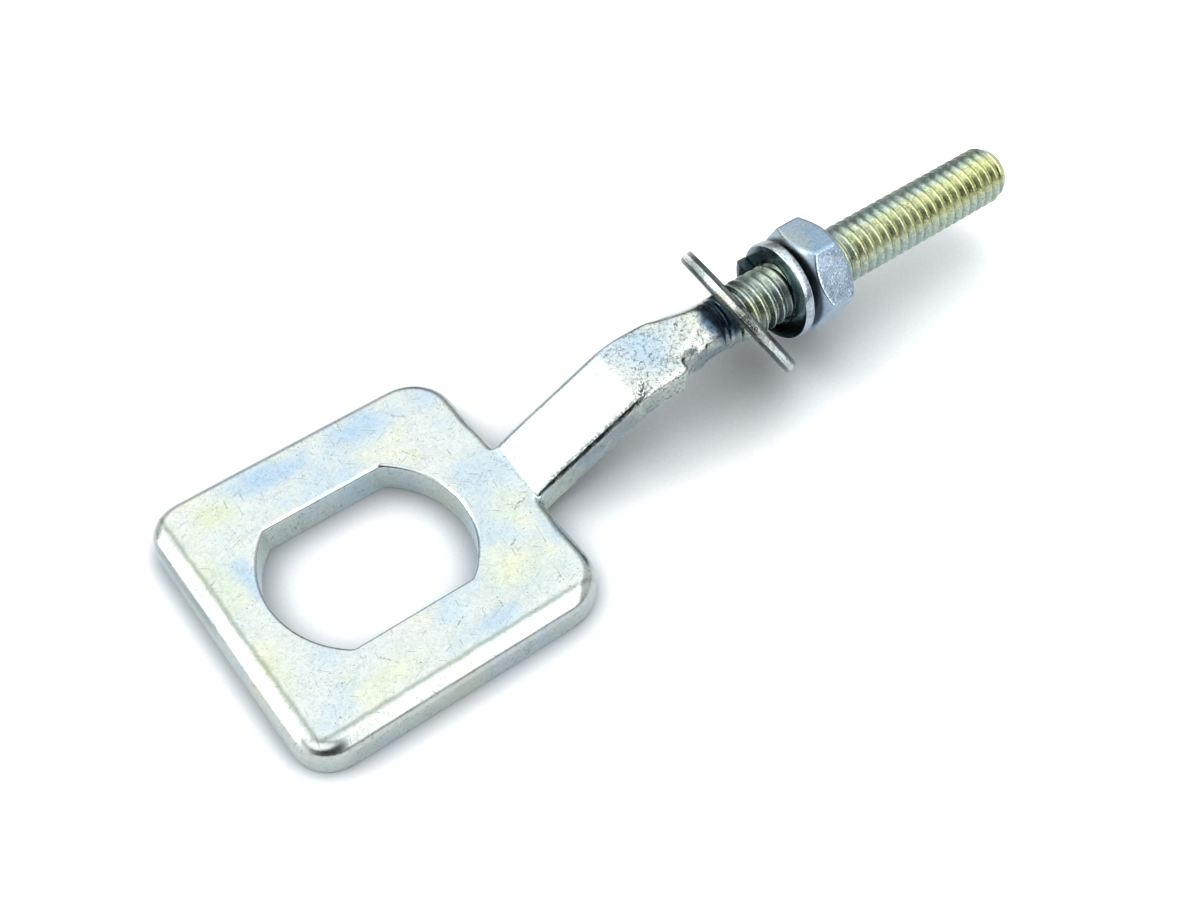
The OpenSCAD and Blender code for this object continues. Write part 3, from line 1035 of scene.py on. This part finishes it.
# Down across the stud from the stripe on its near top side. Then where the low side's painted grey
# reflection, the stripe, a painted highlight partly in the plating's straw tint, and the top side's
# painted grey shade begin and are full, in millimetres that way
HIGHLIGHT_DOWN = (0.0, -0.837, -0.547)
LOW_SIDE = (1.6, 2.9)
LOW_STRENGTH = 0.6
STRAW_HIGHLIGHT_SIDE = (2.9, 1.4)
STRAW_HIGHLIGHT_STRENGTH = (0.15, 0.9)
STRAW_RUN = (6.0, 40.0)
TOP_SIDE = (-0.9, -2.9)
TOP_STRENGTH = 0.72
# The painted shade in the thread's roots, and how far under the crests it ends
ROOT_STRENGTH = 0.35
ROOT_END = 0.15


def thread_shade(tree, place, base):
    """Painted shade in the thread's roots and on its top side, a painted grey reflection on its low side,
    and a painted highlight stripe in a straw tint that warms it towards the tip.
    """
    start = (THREAD_X, 0, STUD_H)
    down = along_axis(tree, place, start, HIGHLIGHT_DOWN)
    base = lay(tree, base, LOW_REFLECTION_GREY, ramp_between(tree, down, *LOW_SIDE), LOW_STRENGTH)
    banded = ramp_between(tree, math_node(tree, "ABSOLUTE", down), *STRAW_HIGHLIGHT_SIDE, *STRAW_HIGHLIGHT_STRENGTH)
    run = ramp_between(tree, along_axis(tree, place, start, ALONG_STUD), *STRAW_RUN)
    base = lay(tree, base, TIP_STRAW_AND_HIGHLIGHT, run, banded)
    top = ramp_between(tree, down, *TOP_SIDE, 0.0, TOP_STRENGTH)
    base = mix_colour(tree, top, base, TOP_SHADE_GREY)
    radius = from_axis(tree, place, start, ALONG_STUD)
    deep = ramp_between(tree, radius, CREST_R - THREAD_DEPTH, CREST_R - ROOT_END, ROOT_STRENGTH, 0.0)
    return mix_colour(tree, deep, base, ROOT_SHADE_DARK)


# Streaks of the washer's rim to a millimetre of thickness and of radius, and to a metre of height
STREAKS_THROUGH = 4.0
STREAKS_RADIUS = 1.5
STREAKS_HEIGHT = 450.0
# Painted shade over the washer beyond a bright ridge round the middle of its rim: where it begins and is
# full, and how far it wanders
RIDGE_EDGE = (0.26, 0.5)
RIDGE_WANDER = 0.6
RIDGE_STRENGTH = 0.9
TORN_LEVEL = (0.54, 0.62)
TORN_STRENGTH = 0.65


def washer_shade(tree, place, base):
    """Painted shade darkens the washer beyond a streaky band round the middle of its sheared rim, left as
    a bright ridge, and dark torn streaks are laid over it.
    """
    middle = (WASHER_X, 0, STUD_H)
    axis = WASHER_TURN.to_matrix() @ Vector(ALONG_STUD)
    along = along_axis(tree, place, middle, axis)
    radius = from_axis(tree, place, middle, axis)
    rolled_out = put(tree, "CombineXYZ", {
        0: times(tree, along, STREAKS_THROUGH), 1: times(tree, radius, STREAKS_RADIUS),
        2: times(tree, split_place(tree, place)[2], STREAKS_HEIGHT)})
    streaks = noise_value(tree, rolled_out.outputs[0], scale=1.0, detail=4.0, roughness=0.65)
    shifted = wandering(tree, along, streaks, RIDGE_WANDER)
    edge = ramp_between(tree, math_node(tree, "ABSOLUTE", shifted), *RIDGE_EDGE)
    base = lay(tree, base, SHADE_AND_STREAK_DARK, edge, RIDGE_STRENGTH)
    return lay(tree, base, SHADE_AND_STREAK_DARK, ramp_between(tree, streaks, *TORN_LEVEL), TORN_STRENGTH)


# Painted shade on the spring washer's faces begins this far inside its rim
FACE_EDGE = (0.12, 0.26)
FACE_STRENGTH = 0.85
# Ragged painted shade at the edge by the nut: how far it wanders, where it begins and is full
EDGE_WANDER = 1.4
EDGE_RISE = (-0.2, 0.3)
EDGE_STRENGTH = 0.75
# Painted shade beside its cut, from where it begins to where it is full
CUT_SIDE = (0.4, 0.1)
CUT_STRENGTH = 0.9


def spring_shade(tree, place, base):
    """Painted shade darkens the spring washer's faces, its ragged edge by the nut and the sides of its
    cut, and leaves its rim bright.
    """
    middle = (NUT_X, 0, STUD_H)
    radius = from_axis(tree, place, middle, ALONG_STUD)
    inner = ramp_between(tree, radius, *(SPRING_R - past for past in FACE_EDGE))
    base = lay(tree, base, FACE_SHADE_DARK, inner, FACE_STRENGTH)
    ragged_shade = noise_value(tree, place, scale=900.0, detail=3.0)
    along = along_axis(tree, place, middle, ALONG_STUD)
    streak = ramp_between(tree, math_node(tree, "MULTIPLY_ADD", ragged_shade, EDGE_WANDER, along), *EDGE_RISE)
    base = lay(tree, base, SHADE_AND_STREAK_DARK, streak, EDGE_STRENGTH)
    split = math.radians(SPLIT_AT)
    beside = along_axis(tree, place, middle, (0, -math.sin(split), math.cos(split)))
    far_side = ramp_between(tree, split_place(tree, place)[1], 0.0, MM)
    cut = ramp_between(tree, math_node(tree, "ABSOLUTE", beside), *CUT_SIDE)
    return lay(tree, base, SHADE_AND_STREAK_DARK, times(tree, cut, far_side), CUT_STRENGTH)


# The nut's near facet, painted in a lighter tint as if lit: how squarely a face has to look its way, and
# that tint's strength
FACET_COSINE = (0.95, 0.99)
FACET_STRENGTH = 0.75
# The facet's painted sparkle, as the noise levels of its bright glints and dark grains
BRIGHT_LEVEL = (0.54, 0.62)
BRIGHT_STRENGTH = 0.8
DARK_LEVEL = (0.45, 0.37)
DARK_STRENGTH = 0.5
# Painted shade in the seam towards the spring washer, from where it begins to where it is full
SEAM_ALONG = (1.0, 0.6)
SEAM_RADIUS = (7.0, 6.45)
SEAM_STRENGTH = 0.9


def nut_shade(tree, place, base):
    """The nut's near facet is painted lighter, with painted bright glints and dark grains, and painted
    shade darkens its seam by the spring washer.
    """
    middle = (NUT_X, 0, STUD_H)
    normal = put(tree, "TexCoord").outputs["Normal"]
    near = ramp_between(tree, vector_math(tree, "DOT_PRODUCT", normal, NUT_NEAR_FACET), *FACET_COSINE)
    base = lay(tree, base, NEAR_FACET_LIT_BLUE, near, FACET_STRENGTH)
    fine = noise_value(tree, place, scale=3800.0, detail=3.0, roughness=0.7)
    bright = times(tree, near, ramp_between(tree, fine, *BRIGHT_LEVEL))
    dark = times(tree, near, ramp_between(tree, fine, *DARK_LEVEL))
    base = lay(tree, base, PAINTED_GLINT, bright, BRIGHT_STRENGTH)
    base = lay(tree, base, GLINT_GRAIN_DARK, dark, DARK_STRENGTH)
    along = ramp_between(tree, along_axis(tree, place, middle, ALONG_STUD), *SEAM_ALONG)
    radius = ramp_between(tree, from_axis(tree, place, middle, ALONG_STUD), *SEAM_RADIUS)
    return lay(tree, base, SHADE_AND_STREAK_DARK, times(tree, along, radius), SEAM_STRENGTH)


def dress(obj, material):
    """Gives obj this material alone."""
    obj.data.materials.clear()
    obj.data.materials.append(material)


# The object's pieces

forged = forging()
dress(forged, zinc(
    "zinc_forging", *FORGING_TINTS, (*FORGING_STAINS_AND_SHADE, NECK_PAINTED_SHADE), rough=(0.15, 0.26),
    grain=0.1, mottle=0.05, specks=0.7, scratches=0.4, shade=forging_shade,
))
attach(forged, "adjuster")
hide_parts("adjuster_body")

rolled = thread()
dress(rolled, zinc(
    "zinc_thread", *THREAD_TINTS, (NECK_PAINTED_SHADE,), rough=(0.22, 0.36),
    grain=0.5, specks=0.4, scratches=0.2, tint_scale=160.0, shade=thread_shade,
))
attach(rolled, "adjuster")
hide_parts("adjuster_body")

washer = flat_washer()
dress(washer, zinc(
    "zinc_washer", *WASHER_TINTS, rough=(0.16, 0.3),
    grain=0.8, specks=1.0, shade=washer_shade,
))
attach(washer, "flat_washer")
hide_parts("flat_washer")

spring = spring_washer()
dress(spring, zinc(
    "zinc_spring", *SPRING_TINTS, rough=(0.14, 0.26),
    grain=0.3, specks=0.3, scratches=0.2, shade=spring_shade,
))
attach(spring, "spring_washer")
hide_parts("spring_washer")

hexagon = nut()
dress(hexagon, zinc(
    "zinc_nut", *NUT_TINTS, rough=(0.16, 0.28),
    grain=0.3, mottle=0.06, specks=0.3, scratches=0.25, shade=nut_shade,
))
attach(hexagon, "nut")
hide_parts("hex_nut")


# Floor, lamps, world and camera

FLOOR_REACH = 3.0
# The floor's white to the lamps and to the camera, and its own glow
FLOOR_WHITE = 0.72
FLOOR_SEEN_WHITE = 0.98
FLOOR_GLOW = 0.13
# How far the object's shadow reaches, how deep it is, and what more it takes of red and green
SHADOW_REACH = 0.021
SHADOW_DEPTH = 1.5
SHADOW_RED = 0.28
SHADOW_GREEN = 0.09
FLOOR_BLUE = 1.015
SHADOW_SAMPLES = 8


def floor():
    """The white floor, with a soft shadow close round the object."""
    bpy.ops.mesh.primitive_plane_add(size=FLOOR_REACH, location=(0, 0, 0))
    ground = bpy.context.object
    ground.name = "floor"
    material = bpy.data.materials.new("white_floor")
    material.use_nodes = True
    tree = material.node_tree
    tree.nodes.clear()
    paths = put(tree, "LightPath").outputs
    seen = math_node(tree, "MAXIMUM", paths["Is Camera Ray"], paths["Is Glossy Ray"])
    seen = math_node(tree, "MAXIMUM", seen, paths["Is Transmission Ray"])
    open_sky = put(
        tree, "AmbientOcclusion", {"Distance": SHADOW_REACH}, samples=SHADOW_SAMPLES,
    ).outputs["AO"]
    deep = times(tree, math_node(tree, "POWER", open_sky, SHADOW_DEPTH), FLOOR_SEEN_WHITE)
    level = put(
        tree, "Mix", {0: paths["Is Camera Ray"], 2: FLOOR_WHITE, 3: deep}, data_type="FLOAT",
    ).outputs[0]
    red = math_node(tree, "MULTIPLY_ADD", open_sky, SHADOW_RED, 1 - SHADOW_RED)
    green = math_node(tree, "MULTIPLY_ADD", open_sky, SHADOW_GREEN, 1 - SHADOW_GREEN)
    tinted = {i: times(tree, level, share) for i, share in enumerate((red, green, FLOOR_BLUE))}
    white = put(tree, "BsdfDiffuse", {
        "Color": put(tree, "CombineColor", tinted).outputs[0]})
    strength = times(tree, seen, FLOOR_GLOW)
    glow = put(tree, "Emission", {"Color": (1, 1, 1, 1), "Strength": strength})
    both = put(tree, "AddShader", {0: white.outputs[0], 1: glow.outputs[0]})
    put(tree, "OutputMaterial", {"Surface": both.outputs[0]})
    ground.data.materials.append(material)


# The studio's walls: a level, and lobes of direction, cosine where it starts and is full, and amount
WORLD_LEVEL = 0.34
WORLD_DARKEST = 0.03
WORLD_LOBES = (
    ((0.22, 0.52, 0.82), 0.80, 0.97, 1.5),
    ((0.9, -0.1, 0.45), 0.6, 0.98, 0.6),
    ((-0.95, 0.3, 0.05), 0.72, 0.96, 1.2),
    ((-0.46, -0.14, 0.88), 0.90, 0.96, 1.8),
    ((-0.05, 0.93, 0.30), 0.85, 0.97, 0.45),
    ((-0.34, -0.66, 0.67), 0.90, 0.97, -0.34),
    ((-0.45, -0.86, 0.1), 0.6, 0.98, -0.22),
    ((0.15, -0.95, 0.28), 0.93, 0.99, 0.4),
)


def studio_world():
    """A pale studio, brighter overhead and darker low on the camera's side, white to the camera."""
    world = bpy.data.worlds.new("studio")
    bpy.context.scene.world = world
    world.use_nodes = True
    tree = world.node_tree
    tree.nodes.clear()
    way = put(tree, "TexCoord").outputs["Generated"]
    level = WORLD_LEVEL
    for middle, low, high, amount in WORLD_LOBES:
        toward = vector_math(tree, "DOT_PRODUCT", way, Vector(middle).normalized())
        level = math_node(tree, "MULTIPLY_ADD", ramp_between(tree, toward, low, high), amount, level)
    level = math_node(tree, "MAXIMUM", level, WORLD_DARKEST)
    by_camera = put(tree, "LightPath").outputs["Is Camera Ray"]
    seen = put(tree, "Mix", {0: by_camera, 2: level, 3: 1.0}, data_type="FLOAT")
    back = put(tree, "Background", {"Color": (1, 1, 1, 1), "Strength": seen.outputs[0]})
    put(tree, "OutputWorld", {"Surface": back.outputs[0]})


# Where the lamps look, how far from there they hang, and how wide they are, in metres
LAMP_AIM = Vector((0.03, 0, 0))
LAMP_AWAY = 0.6
LAMP_WIDTH = 0.34


def softbox(name, way, along, length, watts):
    """A long lamp that looks at the object from the way it is given, its length along a direction."""
    light = bpy.data.lights.new(name, "AREA")
    light.shape = "RECTANGLE"
    light.size = LAMP_WIDTH
    light.size_y = length
    light.energy = watts
    lamp = bpy.data.objects.new(name, light)
    bpy.context.collection.objects.link(lamp)
    toward = Vector(way).normalized()
    side = Vector(along).cross(toward).normalized()
    lamp.location = LAMP_AIM + toward * LAMP_AWAY
    lamp.rotation_euler = Matrix((side, toward.cross(side), toward)).transposed().to_euler()


# The photograph's view: place in millimetres, turn in degrees, and a lens for this width of film
CAMERA_PLACE = Vector((-42.876, -100.837, 159.599))
CAMERA_TURN = (38.1653, -0.4815, -36.6761)
CAMERA_LENS = 48.197
FILM_WIDTH = 36.0
CAMERA_SEES = (0.01, 20.0)


def camera():
    """The camera at the photograph's view."""
    seen = bpy.data.cameras.new("view")
    seen.lens = CAMERA_LENS
    seen.sensor_width = FILM_WIDTH
    seen.clip_start, seen.clip_end = CAMERA_SEES
    obj = bpy.data.objects.new("view", seen)
    bpy.context.collection.objects.link(obj)
    obj.location = CAMERA_PLACE * MM
    obj.rotation_euler = [math.radians(a) for a in CAMERA_TURN]
    bpy.context.scene.camera = obj


floor()
studio_world()
softbox("window_lamp", (-0.629, 0.51, 0.586), (0.682, 0, 0.731), 0.70, 1.9)
softbox("near_lamp", (0.33, -0.47, 0.82), (0, -0.87, -0.49), 0.98, 2.4)
camera()
bpy.context.scene.view_settings.view_transform = "Standard"
